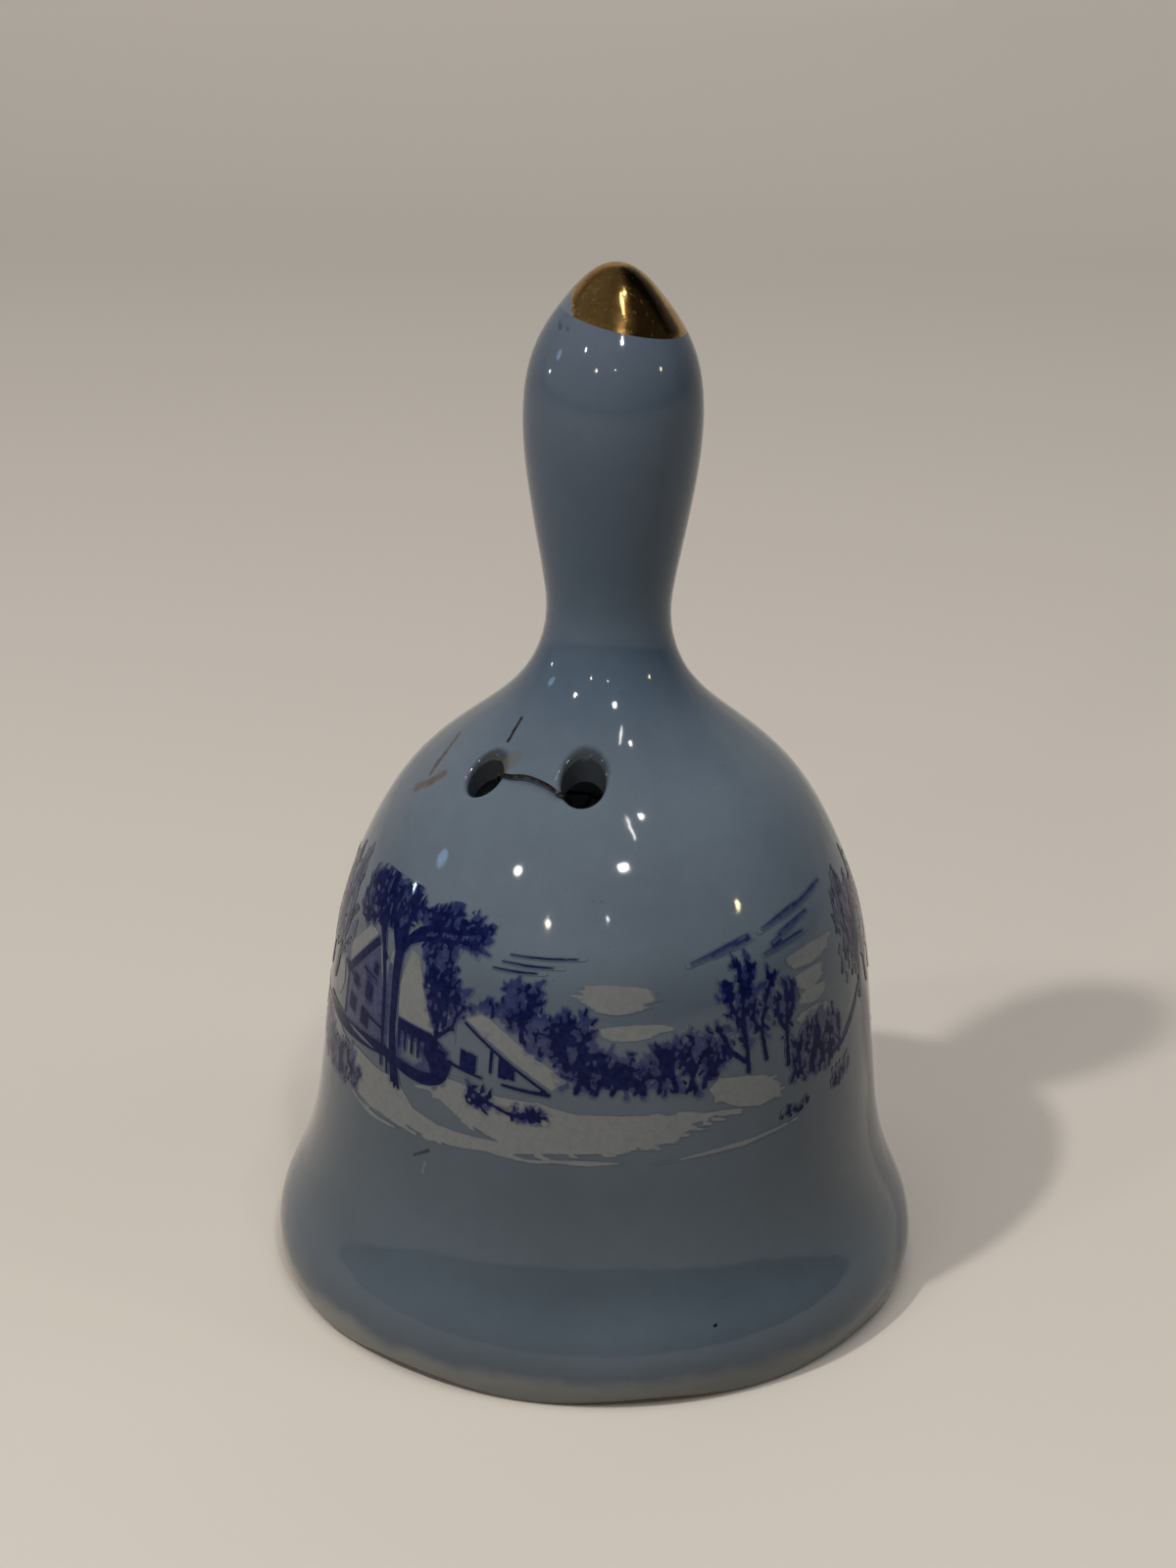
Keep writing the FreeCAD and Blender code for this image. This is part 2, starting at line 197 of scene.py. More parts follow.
# ---- node helpers ------------------------------------
class Nodes:
    """A new material, with short ways to add and join its nodes."""

    def __init__(self, name):
        self.material = bpy.data.materials.new(name)
        self.material.use_nodes = True
        self.tree = self.material.node_tree
        self.shader = self.tree.nodes["Principled BSDF"]
        self.place = self.add("ShaderNodeTexCoord").outputs["Object"]

    def add(self, kind, inputs=None, **settings):
        node = self.tree.nodes.new(kind)
        for key, value in settings.items():
            setattr(node, key, value)
        for key, value in (inputs or {}).items():
            self.feed(node.inputs[key], value)
        return node

    def feed(self, socket, value):
        if isinstance(value, bpy.types.NodeSocket):
            self.tree.links.new(value, socket)
        else:
            socket.default_value = value

    def surface(self, name, value):
        """Feeds one of the finished surface's inputs."""
        self.feed(self.shader.inputs[name], value)

    def math(self, operation, a, b):
        return self.add("ShaderNodeMath", {0: a, 1: b}, operation=operation).outputs[0]

    def plus(self, a, b, share):
        """a with a share of b added."""
        return self.math("ADD", a, self.math("MULTIPLY", b, share))

    def noise(self, size, detail=3.0, roughness=0.5):
        """Noise whose features are about size millimetres."""
        inputs = {
            "Vector": self.place,
            "Scale": 1 / (size * MM),
            "Detail": detail,
            "Roughness": roughness,
        }
        return self.add("ShaderNodeTexNoise", inputs).outputs["Fac"]

    def ramp(self, value, low, high):
        """0 at low, 1 at high, smooth between. low may be above high."""
        ends = (1.0, 0.0) if low > high else (0.0, 1.0)
        inputs = {
            "Value": value,
            "From Min": min(low, high),
            "From Max": max(low, high),
            "To Min": ends[0],
            "To Max": ends[1],
        }
        return self.add("ShaderNodeMapRange", inputs, interpolation_type="SMOOTHSTEP").outputs[0]

    def mix(self, share, a, b):
        node = self.add("ShaderNodeMix", data_type="RGBA")
        self.feed(node.inputs[0], share)
        self.feed(node.inputs[6], a)
        self.feed(node.inputs[7], b)
        return node.outputs[2]

    def tint(self, colour, share, low, high):
        """The colour made darker or lighter, by low where share is 0 and by high where it is 1."""
        strength = self.plus(low, share, high - low)
        scaled = self.add("ShaderNodeVectorMath", {0: colour, "Scale": strength}, operation="SCALE")
        return scaled.outputs[0]

    def axis(self, name):
        return self.add("ShaderNodeSeparateXYZ", {0: self.place}).outputs[name]

    def near(self, a, b, radius, ragged, solid=0.35):
        """1 within solid times radius of the line from a to b, and 0 beyond radius, in millimetres.

        ragged is how far the edge wanders, as a share of the radius.
        """
        run = b - a
        offset = self.add("ShaderNodeVectorMath", {0: self.place, 1: a}, operation="SUBTRACT").outputs[0]
        along = self.add(
            "ShaderNodeVectorMath", {0: offset, 1: run / run.length_squared}, operation="DOT_PRODUCT",
        )
        share = self.math("MAXIMUM", self.math("MINIMUM", along.outputs["Value"], 1.0), 0.0)
        reach = self.add("ShaderNodeVectorMath", {0: run, "Scale": share}, operation="SCALE").outputs[0]
        gap = self.add("ShaderNodeVectorMath", {0: offset, 1: reach}, operation="DISTANCE").outputs["Value"]
        wander = self.math("SUBTRACT", self.noise(0.9, 4.0, 0.7), 0.5)
        gap = self.plus(gap, wander, 2 * ragged * radius * MM)
        return self.ramp(gap, radius * MM, solid * radius * MM)

    def bump(self, height, distance, after=None):
        """A bumped normal. Where height goes from 0 to 1, the surface rises by distance millimetres."""
        inputs = {"Height": height, "Distance": distance * MM}
        if after is not None:
            inputs["Normal"] = after
        return self.add("ShaderNodeBump", inputs).outputs["Normal"]


# ---- materials ---------------------------------------
def rgb(r, g, b):
    return (r, g, b, 1.0)


def gloss(n):
    """The even shine of fired glass, with the slow waves of a dipped glaze."""
    n.surface("Roughness", 0.07)
    n.surface("IOR", 1.42)
    wave = n.bump(n.noise(11, 1.0), 0.10)
    n.surface("Normal", n.bump(n.noise(1.6, 2.0), 0.004, after=wave))


GLAZE = (0.128, 0.165, 0.212)
# How strong the glaze's red, green and blue are at heights in millimetres: pale on the lip, and above it
# painted light and shade by height, lighter on the shoulder and darker on the flare and on the waist of the
# handle.
GLAZE_TONES_WITH_PAINTED_SHADING = (
    (2.5, (1.00, 0.95, 0.92)),
    (5.0, (0.78, 0.78, 0.77)),
    (10, (0.78, 0.79, 0.78)),
    (14, (0.66, 0.68, 0.67)),
    (28, (0.64, 0.66, 0.66)),
    (44, (0.78, 0.78, 0.78)),
    (51, (0.76, 0.75, 0.75)),
    (58, (1.04, 1.03, 1.02)),
    (72, (1.02, 1.02, 1.01)),
    (82, (0.70, 0.77, 0.84)),
    (98, (0.56, 0.68, 0.79)),
    (112, (0.68, 0.75, 0.83)),
    (122, (0.77, 0.77, 0.81)),
)


def glaze_colour(n):
    """Grey-blue: cloudy, finely mottled, and with the tones by height listed above, which hold painted
    light and shade.
    """
    height = n.plus(n.axis("Z"), n.math("SUBTRACT", n.noise(9), 0.5), 4 * MM)
    # A ramp by height: the glaze's tones with painted light and shade, lighter on the shoulder and darker
    # on the flare and the handle's waist.
    shaded_tones = n.add("ShaderNodeValToRGB", {"Fac": n.math("DIVIDE", height, HANDLE_TOP * MM)})
    stops = shaded_tones.color_ramp.elements
    for i, (at, shaded_tone) in enumerate(GLAZE_TONES_WITH_PAINTED_SHADING):
        stop = stops[i] if i < 2 else stops.new(at / HANDLE_TOP)
        stop.position = at / HANDLE_TOP
        stop.color = rgb(*(g * t for g, t in zip(GLAZE, shaded_tone)))
    colour = shaded_tones.outputs["Color"]
    colour = n.tint(colour, n.ramp(n.noise(26, 2.0), 0.3, 0.7), 0.93, 1.07)
    colour = n.tint(colour, n.noise(2.2, 4.0), 0.93, 1.07)
    colour = n.mix(n.ramp(n.noise(0.35, 2.0), 0.70, 0.78), colour, rgb(0.06, 0.08, 0.11))
    lip = n.ramp(height, 5 * MM, 2.4 * MM)
    return n.mix(lip, colour, rgb(0.25, 0.255, 0.235))


# The wire holes, whose bores get painted shade: azimuth, and radius, height and the hole's radius in
# millimetres.
HOLES = ((-49.2, 19.3, 72.9, 2.45), (-8.7, 17.2, 74.6, 2.7))
# The colour of the painted shade in the holes' bores.
HOLE_SHADE = (0.035, 0.038, 0.042)
# Old knocks and stains: radius in millimetres, strength, colour, and the places that they run through, as
# azimuth, radius and height.
MARKS = (
    (0.34, 0.95, (0.016, 0.014, 0.012), (-50.3, 15.6, 75.8), (-51.9, 14.4, 77.0), (-53.0, 13.2, 78.2)),
    (0.55, 0.80, (0.070, 0.058, 0.050), (-83.7, 18.5, 73.5), (-77.4, 20.5, 71.9), (-74.6, 21.9, 70.6)),
    (0.55, 0.70, (0.080, 0.066, 0.056), (-76.4, 21.4, 71.1), (-73.0, 22.7, 69.9)),
    (0.95, 0.72, (0.110, 0.078, 0.060), (-73.8, 24.5, 68.1), (-69.3, 23.1, 69.5), (-66.8, 21.8, 70.7)),
    (1.50, 0.55, (0.120, 0.110, 0.095), (-43.0, 18.2, 74.3), (-41.0, 16.9, 75.2)),
    (0.34, 0.90, (0.014, 0.017, 0.035), (-38.7, 36.0, 27.8), (-35.3, 35.9, 29.1)),
    (0.30, 0.50, (0.260, 0.270, 0.280), (-35.9, 36.0, 27.4), (-36.4, 36.1, 25.9)),
    (0.34, 1.00, (0.006, 0.006, 0.008), (21.6, 40.7, 10.1), (21.8, 40.7, 10.2)),
    (0.34, 0.60, (0.040, 0.042, 0.055), (-69.3, 36.6, 21.0), (-69.0, 36.6, 21.1)),
    (0.30, 0.60, (0.040, 0.042, 0.055), (-56.6, 36.8, 19.7), (-56.4, 36.8, 19.7)),
    (0.28, 0.60, (0.040, 0.042, 0.055), (39.8, 36.3, 23.4), (40.0, 36.3, 23.5)),
    (0.30, 0.60, (0.060, 0.060, 0.070), (-12.0, 11.6, 79.4), (-11.0, 11.5, 79.5)),
    (0.75, 0.90, (0.032, 0.034, 0.045), (-63.0, 8.0, 127.6), (-57.0, 8.2, 127.0)),
    (0.65, 0.85, (0.036, 0.038, 0.050), (-50.0, 8.1, 127.4), (-45.0, 8.2, 127.1)),
)


def glaze():
    """The bell's glaze, with painted shade in its holes and a few old knocks and stains."""
    n = Nodes("blue_grey_glaze")
    colour = glaze_colour(n)
    for azimuth, radius, height, hole in HOLES:
        outer, inner = polar(azimuth, radius, height + 2), polar(azimuth, radius - 1, height - 5)
        # Painted shade: each hole's bore darkens, fading out at its mouth.
        hole_shade = n.near(outer, inner, hole + 0.7, 0.1, 0.72)
        colour = n.mix(n.math("MULTIPLY", hole_shade, 0.85), colour, rgb(*HOLE_SHADE))
    for radius, strength, stain, *places in MARKS:
        for a, b in zip(places, places[1:]):
            mark = n.near(polar(*a), polar(*b), radius, 0.5)
            colour = n.mix(n.math("MULTIPLY", mark, strength), colour, rgb(*stain))
    n.surface("Base Color", colour)
    gloss(n)
    return n.material


# Each enamel's colour where it is strong and where it is thin.
SNOW = (0.204, 0.214, 0.217), (0.174, 0.188, 0.197)
WASH = (0.017, 0.028, 0.105), (0.034, 0.050, 0.138)
INK = (0.003, 0.006, 0.046), (0.009, 0.014, 0.078)


def enamel(name):
    """Printed enamel under the shine. The film's points say how strong each of its three colours is."""
    n = Nodes(name)
    patchy = n.ramp(n.noise(0.9, 4.0, 0.6), 0.35, 0.7)
    colour = glaze_colour(n)
    for layer, (strong, thin) in (("snow", SNOW), ("wash", WASH), ("ink", INK)):
        share = n.add("ShaderNodeAttribute", attribute_name=layer).outputs["Fac"]
        colour = n.mix(share, colour, n.mix(patchy, rgb(*strong), rgb(*thin)))
    n.surface("Base Color", colour)
    gloss(n)
    # share is the dark cobalt's now: it shines less.
    n.surface("Specular IOR Level", n.math("SUBTRACT", 0.5, n.math("MULTIPLY", share, 0.4)))
    return n.material


def gilding():
    """Gold brushed on by hand: specked, with a painted dark reflection at the right, and rubbed through to
    glaze at the left.
    """
    n = Nodes("rubbed_gold")
    left = n.ramp(n.axis("X"), 2 * MM, -6 * MM)
    speck = n.ramp(n.plus(n.noise(0.7, 5.0, 0.7), left, 0.07), 0.62, 0.67)
    colour = n.mix(n.ramp(n.noise(2.5), 0.35, 0.65), rgb(0.52, 0.29, 0.085), rgb(0.66, 0.41, 0.15))
    colour = n.mix(speck, colour, rgb(0.035, 0.03, 0.03))
    corner = n.near(polar(-88, 6.2, 129.6), polar(-57, 7.8, 128.2), 1.8, 0.5, 0.6)
    edge = n.near(polar(-57, 7.8, 128.0), polar(-32, 8.5, 127.0), 1.1, 0.5, 0.6)
    rubbed = n.math("MAXIMUM", corner, edge)
    # Painted reflection: a near-black patch at the right side of the gold, where it mirrors the dark room.
    dark_patch = n.near(polar(45, 2.6, 132.8), polar(60, 7.8, 127.2), 2.0, 0.35, 0.45)
    colour = n.mix(n.math("MULTIPLY", dark_patch, 0.88), colour, rgb(0.04, 0.036, 0.028))
    n.surface("Base Color", n.mix(rubbed, colour, rgb(0.13, 0.17, 0.21)))
    n.surface("Metallic", n.math("SUBTRACT", 1.0, n.math("MAXIMUM", speck, rubbed)))
    n.surface("Roughness", n.plus(0.06, n.noise(0.8, 4.0), 0.16))
    n.surface("Normal", n.bump(n.noise(2.4, 3.0), 0.035))
    return n.material


def steel(name, light, dark, roughness):
    """Wire: drawn steel with darker patches of tarnish."""
    n = Nodes(name)
    dark_patch = n.ramp(n.noise(0.8, 5.0, 0.65), 0.40, 0.62)
    n.surface("Base Color", n.mix(dark_patch, light, dark))
    n.surface("Metallic", 1.0)
    n.surface("Roughness", n.plus(roughness, dark_patch, 0.2))
    n.surface("Normal", n.bump(n.noise(0.25, 3.0), 0.01))
    return n.material


def ball_glaze():
    """Off-white porcelain with faint grey rub marks from the wall."""
    n = Nodes("white_porcelain")
    rub = n.ramp(n.noise(1.5, 6.0, 0.7), 0.56, 0.70)
    n.surface("Base Color", n.mix(rub, rgb(0.62, 0.62, 0.58), rgb(0.42, 0.43, 0.43)))
    n.surface("Roughness", n.plus(0.12, rub, 0.25))
    n.surface("Normal", n.bump(n.noise(2.0), 0.01))
    return n.material


def dress_cad():
    """Gives each CAD node its material."""
    dark_wire = steel("dark_steel_wire", rgb(0.11, 0.10, 0.095), rgb(0.03, 0.027, 0.025), 0.26)
    bright_wire = steel("steel_wire", rgb(0.48, 0.47, 0.46), rgb(0.20, 0.18, 0.17), 0.25)
    finishes = {
        "bell_body": glaze(),
        "gold_tip": gilding(),
        "hanger_wire": dark_wire,
        "jump_ring": bright_wire,
        "clapper_wire": bright_wire,
        "clapper_ball": ball_glaze(),
    }
    for node, material in finishes.items():
        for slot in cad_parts[node].material_slots:
            slot.material = material


# ---- the drawing -------------------------------------
# The drawing's places are azimuths in degrees and heights in millimetres. Its lengths are in millimetres.
SPREAD = 0.61  # millimetres round the bell per degree of azimuth, at the drawing's height
FOOT, HEAD = 29.0, 60.5  # the heights in millimetres that the drawing lies between
CELL = 0.1  # millimetres between the grid's points
FAR = 0.6  # millimetres outside an edge, as far as depths are kept
CORE = 0.05  # millimetres inside its edge, a colour is at full strength


def flat(points):
    """Where points given by azimuth and height lie on the flat grid, in millimetres."""
    return (np.array(points, float) - (-180, FOOT)) * (SPREAD, 1)


def smooth(points, steps=5):
    """A curve through all the points, with steps runs between each two."""
    p = np.array(points, float)
    if len(p) < 3:
        return p
    p = np.vstack([2 * p[0] - p[1], p, 2 * p[-1] - p[-2]])
    curve = []
    for a, b, c, d in zip(p[:-3], p[1:-2], p[2:-1], p[3:]):
        for t in np.arange(steps) / steps:
            square = (2 * a - 5 * b + 4 * c - d) * t**2
            cube = (3 * b - a - 3 * c + d) * t**3
            curve.append((2 * b + (c - a) * t + square + cube) / 2)
    return np.array(curve + [p[-2]])


class Layer:
    """One colour of the drawing, as how many millimetres inside its edge each cell of a flat grid lies."""

    def __init__(self, seed, fade):
        self.chance = np.random.default_rng(seed)
        self.fade = fade  # millimetres outside its edge, over which its colour fades out
        self.depth = np.full((round((HEAD - FOOT) / CELL), round(360 * SPREAD / CELL)), -FAR)

    def window(self, points, margin):
        """The part of the grid near the points, and its cells' places."""
        limit = self.depth.shape[::-1]
        c0, r0 = np.clip(np.floor((points.min(0) - margin) / CELL), 0, limit).astype(int)
        c1, r1 = np.clip(np.ceil((points.max(0) + margin) / CELL) + 1, 0, limit).astype(int)
        x, y = np.meshgrid(np.arange(c0, c1) * CELL, np.arange(r0, r1) * CELL)
        return self.depth[r0:r1, c0:c1], x, y

    def stroke(self, points, *widths):
        """A brush stroke through the points, whose width goes from each of widths to the next."""
        p = flat(smooth(points))
        w = np.interp(np.linspace(0, 1, len(p)), np.linspace(0, 1, len(widths)), widths) / 2
        for i in range(len(p) - 1):
            patch, x, y = self.window(p[i : i + 2], max(w) + FAR)
            run = p[i + 1] - p[i]
            x, y = x - p[i][0], y - p[i][1]
            t = np.clip((x * run[0] + y * run[1]) / (run @ run), 0, 1)
            inside = w[i] + (w[i + 1] - w[i]) * t - np.hypot(x - t * run[0], y - t * run[1])
            np.maximum(patch, inside, out=patch)

    def shape(self, points):
        """The grid near a polygon, and how deep inside the polygon its cells lie."""
        p = flat(points)
        patch, x, y = self.window(p, FAR)
        gap = np.full(x.shape, np.inf)
        within = np.zeros(x.shape, bool)
        for a, b in zip(p, np.roll(p, -1, 0)):
            run = b - a
            t = np.clip(((x - a[0]) * run[0] + (y - a[1]) * run[1]) / (run @ run), 0, 1)
            gap = np.minimum(gap, np.hypot(x - a[0] - t * run[0], y - a[1] - t * run[1]))
            if a[1] != b[1]:
                within ^= ((a[1] > y) != (b[1] > y)) & (x < a[0] + (y - a[1]) * run[0] / run[1])
        return patch, np.where(within, gap, -gap)

    def area(self, *points):
        patch, inside = self.shape(points)
        np.maximum(patch, inside, out=patch)

    def clear(self, *points):
        patch, inside = self.shape(points)
        np.minimum(patch, -inside, out=patch)

    def strength(self, places):
        """How strong the colour is at places on the flat grid, from 0 to 1."""
        return np.clip((sampled(self.depth, places) + self.fade) / (self.fade + CORE), 0, 1)

    def scatter(self, outline, count):
        """Random places inside a polygon."""
        p = np.array(outline, float)
        places = []
        while len(places) < count:
            x, y = self.chance.uniform(p.min(0), p.max(0))
            hits = sum((a[1] > y) != (b[1] > y) and x < a[0] + (y - a[1]) * (b[0] - a[0]) / (b[1] - a[1])
                       for a, b in zip(p, np.roll(p, -1, 0)))
            if hits % 2:
                places.append((x, y))
        return places

    def dab(self, x, y, length, width, lean, spread):
        """A short brush mark. lean is the way it points, in degrees clockwise from straight up."""
        a = math.radians(lean + self.chance.normal(0, spread))
        reach = length * self.chance.uniform(0.5, 1.2)
        end = (x + reach * math.sin(a) / SPREAD, y + reach * math.cos(a))
        self.stroke([(x, y), end], width * self.chance.uniform(0.6, 1.2), width * 0.35)

    def dabs(self, outline, count, length, width, lean, spread):
        """Dabs inside a polygon."""
        for x, y in self.scatter(outline, count):
            self.dab(x, y, length, width, lean, spread)

    def leaves(self, places, each, reach, length, width, lean=0.0):
        """Dabs about each of the places."""
        for place in places:
            for x, y in np.array(place) + self.chance.normal(0, reach, (each, 2)) * (1 / SPREAD, 1):
                self.dab(x, y, length, width, lean, 40)

    def limb(self, start, lean, length, width, forks):
        """A branch that bends, thins and forks. Gives the places along it and its twigs."""
        points = [start]
        for turn in self.chance.normal(0, 12, 2):
            lean += turn
            a = math.radians(lean)
            x, y = points[-1]
            points.append((x + length / 2 * math.sin(a) / SPREAD, y + length / 2 * math.cos(a)))
        self.stroke(points, width, width * 0.7)
        places = points[1:]
        if forks:
            for side in (-1, 1):
                turned = lean + side * self.chance.uniform(14, 34)
                places += self.limb(
                    points[-1], turned, length * self.chance.uniform(0.6, 0.85), width * 0.7, forks - 1,
                )
            turned = lean + self.chance.choice((-1, 1)) * self.chance.uniform(25, 45)
            places += self.limb(points[1], turned, length * 0.55, width * 0.55, forks - 1)
        return places

    def cloud(self, west, east, low, high, slant=0.0):
        """A cloud of strokes whose ends fray. slant is about how far its east end stands above its west."""
        rows = max(3, round((high - low) / 0.3))
        middle = (west + east) / 2
        for i in range(rows):
            t = (i + 0.5) / rows
            half = (east - west) / 2 * (1 - (1.5 * t - 0.95) ** 2) ** 0.5
            a = middle - half * self.chance.uniform(0.66, 1.0)
            b = middle + half * self.chance.uniform(0.66, 1.0)
            y = low + (high - low) * t
            rise = [slant * (x - middle) / (east - west) for x in (a, middle, b)]
            self.stroke(
                [(a, y + rise[0]), (middle, y + rise[1]), (b, y + rise[2])], 0.06, 0.46, 0.7, 0.46, 0.06,
            )

    def roughen(self, amount, size):
        """Moves the edges in and out by up to about half of amount, in waves of about size."""
        for share, scale in ((0.6, size), (0.4, size / 2.5)):
            rows, columns = (int(n * CELL / scale) + 2 for n in self.depth.shape)
            coarse = self.chance.random((rows, columns)) - 0.5
            r = np.arange(self.depth.shape[0]) * CELL / scale
            c = np.arange(self.depth.shape[1]) * CELL / scale
            i, j = r.astype(int)[:, None], c.astype(int)[None, :]
            s, t = (r - r.astype(int))[:, None], (c - c.astype(int))[None, :]
            level = coarse[i, j] * (1 - s) * (1 - t) + coarse[i + 1, j] * s * (1 - t)
            level += coarse[i, j + 1] * (1 - s) * t + coarse[i + 1, j + 1] * s * t
            self.depth += amount * share * level


def tree_clump(wash, ink, outline, marks, lean):
    """A leafy mass: as many pale broad dabs as marks says, and half as many dark ones over them."""
    wash.dabs(outline, marks, 1.1, 0.85, lean, 45)
    ink.dabs(outline, marks // 2, 0.8, 0.3, lean, 35)


def tree(wash, ink, foot, lean, length, width, forks=2):
    """Forking limbs from a foot, with leaves about them."""
    places = ink.limb(foot, lean, length, width, forks)
    wash.leaves(places[2:], 2, 0.45, 0.9, 0.55, lean)
    ink.leaves(places[4:], 1, 0.4, 0.7, 0.34, lean)


CROWN = (
    (-69, 54), (-70, 58.2), (-62, 59.6), (-52, 59.4), (-47, 59.2), (-46, 56), (-50, 54.4), (-58, 54),
    (-64, 52.6),
)
HEDGE = (
    (-84, 33), (-76, 31.4), (-66, 31.2), (-58, 32), (-57, 34.2), (-63, 36.6), (-70, 35), (-77, 37.8),
    (-85, 37.4),
)


def draw_great_tree(wash, ink):
    """The leaves of the tree that stands before the house."""
    bough = [
        (-47, 58.2), (-41, 59.2), (-36, 59.3), (-31, 58.6), (-26, 58.6), (-25.4, 57.4), (-27.4, 55.6),
        (-34, 55.4), (-40, 53.8), (-44.6, 53.8),
    ]
    wash.dabs(CROWN, 190, 1.3, 0.6, -20, 35)
    ink.dabs(CROWN, 130, 1.2, 0.4, -20, 35)
    wash.dabs(bough, 110, 1.1, 0.65, 60, 40)
    ink.dabs(bough, 80, 1, 0.42, 50, 40)
    for start, lean in (
        ((-41, 56.8), 15), ((-37, 57.2), 30), ((-32, 57.4), 40), ((-38, 55.8), 110), ((-32, 56.4), 100),
    ):
        tree(wash, ink, start, lean, 1.5, 0.4, 1)
    for start, lean in (((-57, 58.4), -30), ((-63, 57.4), -50), ((-50, 58.6), -5)):
        tree(wash, ink, start, lean, 1.2, 0.4, 1)


def draw_great_trunk(snow, wash, ink):
    """Its stems and boughs, which cross the house."""
    for layer in (snow, wash):
        layer.clear((-49.6, 37.4), (-46.2, 37.2), (-47.2, 50), (-50.2, 50))
    ink.stroke(
        [(-44.4, 35.6), (-46.4, 38.4), (-47.6, 42.5), (-48.1, 46.5), (-48.9, 50.5), (-49.4, 54.5)],
        0.5, 1.5, 1.2, 1.3, 1.6, 2,
    )
    for x, low, high in ((-46.6, 36, 38.6), (-45.6, 35.4, 38.2), (-48.2, 36.8, 39.6)):
        ink.stroke([(x, low), (x - 0.5, high)], 0.3, 0.6)
    ink.stroke(
        [(-50.3, 37.4), (-50.9, 43.6), (-52.2, 48.3), (-55, 52.4), (-57.5, 56.4)],
        0.35, 0.75, 0.7, 0.8, 0.5,
    )
    wash.stroke([(-49.6, 39), (-49.8, 45), (-51, 50)], 0.8, 0.9, 0.8)
    for widths, *points in (
        ((1.3, 0.9, 0.6, 0.35), (-48.9, 52.4), (-45.5, 55.2), (-40.5, 56.7), (-34, 57), (-27.5, 57.8)),
        ((0.8, 0.5, 0.3), (-47.6, 53.8), (-42.5, 55.1), (-36.5, 55.7), (-30, 56.4)),
        ((1.3, 0.8, 0.4), (-49.3, 53.5), (-48.6, 56.5), (-49.6, 59.4)),
        ((0.9, 0.6, 0.35), (-49.6, 52), (-53.5, 55.4), (-57.5, 58.8)),
        ((0.7, 0.5, 0.3), (-53, 50.8), (-58.5, 54.6), (-63.5, 57.6)),
    ):
        ink.stroke(points, *widths)


def roof(snow, wash, ink, *points):
    """Snow on a roof, with nothing drawn over it."""
    snow.area(*points)
    wash.clear(*points)
    ink.clear(*points)


def draw_house(snow, wash, ink):
    front = (-67.6, 45.4), (-55.8, 51.4), (-50.6, 44.6), (-50.2, 40), (-66.6, 39.6)
    for layer in (snow, wash, ink):
        layer.clear((-71, 47), (-61, 53), (-50, 53), (-36, 44.4), (-32, 43), (-32, 39), (-66, 38.8))
    wash.area(*front)
    for low in (41, 42.6, 44.2, 45.8, 47.4):
        wash.clear((-66, low + 0.75), (-51.2, low - 0.3), (-51.2, low), (-66, low + 1.1))
    for west, low, wide, tall in (
        (-65, 41.6, 3.2, 2), (-64.6, 44.9, 2.8, 1.5), (-59.4, 40.9, 3.4, 2.2), (-58.6, 44.4, 3, 2.3),
        (-56.6, 48.2, 1.8, 1.3),
    ):
        east = west + wide
        ink.area((west, low), (east, low - 0.3), (east, low + tall - 0.3), (west, low + tall))
    for start, end in (
        ((-66.8, 40.2), (-67.2, 45)), ((-66, 45.9), (-61, 45.2)), ((-60.4, 47.9), (-55, 47.4)),
        ((-55.4, 42.4), (-51.4, 42)),
    ):
        ink.stroke([start, end], 0.4, 0.3)
    ink.stroke([(-78, 39.4), (-68, 38.9), (-57, 39.1), (-49.4, 39.4)], 1, 1.7, 1.7, 1.4)
    roof(snow, wash, ink, (-71.5, 47.4), (-61.6, 53.2), (-58, 52.8), (-67.6, 47))
    ink.area((-70.6, 46.6), (-67.2, 46.9), (-57.4, 52.6), (-56, 51.8), (-67.4, 45.2))
    roof(
        snow, wash, ink, (-55.2, 52.4), (-52.8, 51.6), (-50.4, 48.4), (-49.8, 44.4), (-51, 45),
        (-52.8, 48.2), (-55.6, 51),
    )
    roof(snow, wash, ink, (-51.6, 51.8), (-50, 52), (-49.8, 50), (-51, 49.6))
    snow.area((-74, 45.4), (-71, 46.2), (-69.4, 43.6), (-71.4, 41.4), (-73.6, 42.4))
    wash.area((-46, 44.6), (-36.6, 44.2), (-32, 42.7), (-31.8, 40.2), (-36, 38.4), (-46, 38.6))
    wash.clear((-44.4, 39.8), (-40.4, 39.4), (-38.2, 40.4), (-40.6, 42.4), (-44.2, 42.6))
    ink.area((-46, 44.6), (-36.6, 44.2), (-33.8, 43.3), (-36.6, 42.7), (-46, 43.3))
    ink.area((-38, 43.3), (-32.6, 42.5), (-32.4, 39.8), (-36, 39.3), (-36.8, 40.6), (-38.4, 41.4))
    for x in (-45.4, -43.6, -41.6, -39.8):
        ink.stroke([(x, 43.6), (x + 0.1, 41.6 - 0.12 * (x + 45)), (x + 0.2, 40.8)], 0.5, 0.4, 0.2)
    ink.stroke(
        [(-46.6, 39), (-42, 38.4), (-37.4, 38.3), (-33.6, 39.1), (-31.6, 41.4)], 1.2, 1.5, 1.6, 1.4, 0.8,
    )
    roof(
        snow, wash, ink, (-45.5, 53.2), (-43, 52.8), (-39.6, 48.8), (-36.1, 44.5), (-46, 44.8),
        (-46.9, 48.7),
    )
    wash.dabs([(-72, 47), (-68.6, 46.4), (-68.6, 50), (-71.6, 50.6)], 10, 1.4, 0.5, 0, 12)


